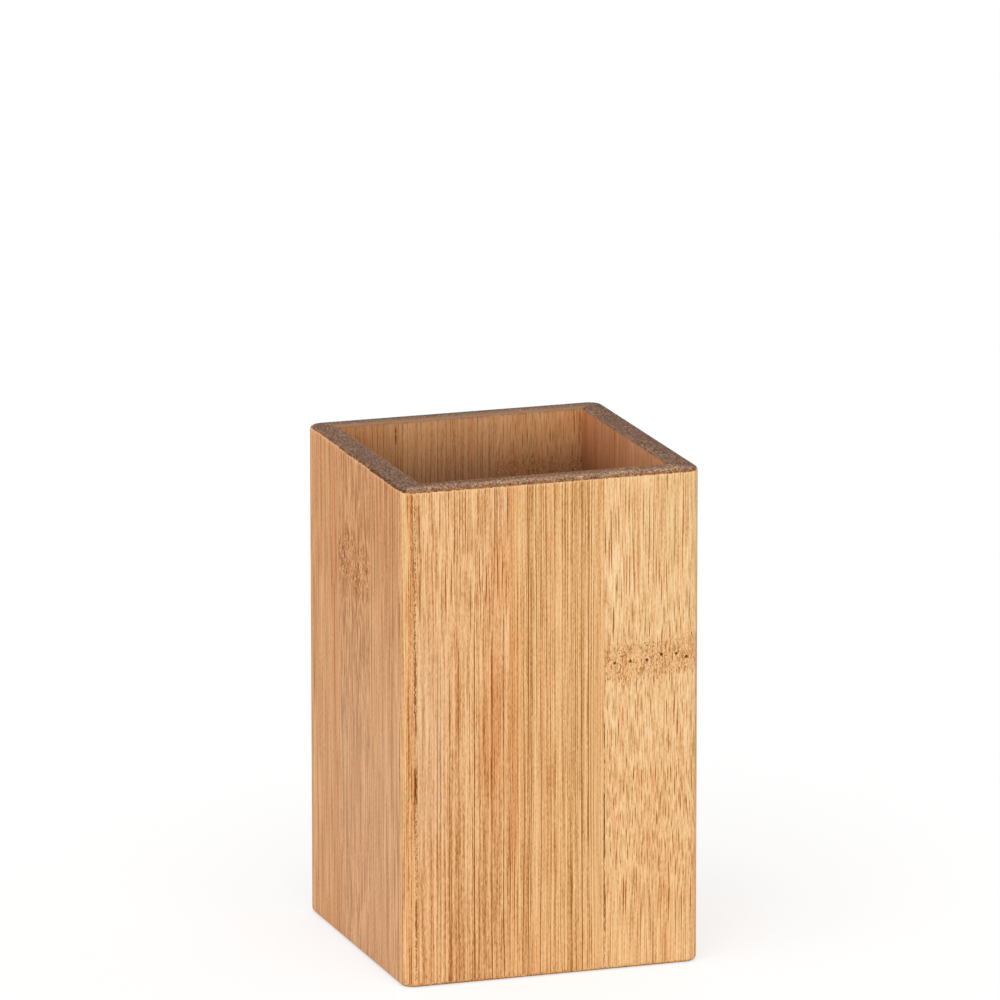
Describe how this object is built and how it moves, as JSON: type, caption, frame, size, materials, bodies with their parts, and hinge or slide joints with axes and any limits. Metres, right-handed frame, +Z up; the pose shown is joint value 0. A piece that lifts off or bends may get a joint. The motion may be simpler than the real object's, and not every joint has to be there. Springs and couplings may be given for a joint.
{
  "type": "toothbrush cup",
  "caption": "Square open-topped bamboo tumbler for toothbrushes, with mitred laminated walls, rounded upright corners, eased rims and a base panel set in a rebate.",
  "frame": {"origin": "centre of the footprint, at the height of the table that the cup stands on", "axes": "+Z up along the cup's height; -Y is the outward normal of the front wall; +X points to its right seen from the front"},
  "size_m": [0.065, 0.065, 0.106],
  "materials": {
    "pale_bamboo": "sanded bamboo, satin",
    "straw_bamboo": "sanded bamboo, satin",
    "honey_bamboo": "sanded bamboo, satin",
    "amber_bamboo": "sanded bamboo, satin",
    "rosy_bamboo": "sanded bamboo, satin"
  },
  "bodies": {
    "root": {"front_wall_strip_1": "amber_bamboo", "front_wall_strip_2": "honey_bamboo", "front_wall_strip_3": "straw_bamboo", "front_wall_strip_4": "pale_bamboo", "right_wall_strip_1": "straw_bamboo", "right_wall_strip_2": "pale_bamboo", "right_wall_strip_3": "honey_bamboo", "right_wall_strip_4": "straw_bamboo", "back_wall_strip_1": "honey_bamboo", "back_wall_strip_2": "straw_bamboo", "back_wall_strip_3": "amber_bamboo", "back_wall_strip_4": "honey_bamboo", "left_wall_strip_1": "honey_bamboo", "left_wall_strip_2": "rosy_bamboo", "left_wall_strip_3": "rosy_bamboo", "left_wall_strip_4": "amber_bamboo", "base_strip_1": "straw_bamboo", "base_strip_2": "honey_bamboo", "base_strip_3": "pale_bamboo", "base_strip_4": "straw_bamboo"}
  },
  "joints": []
}
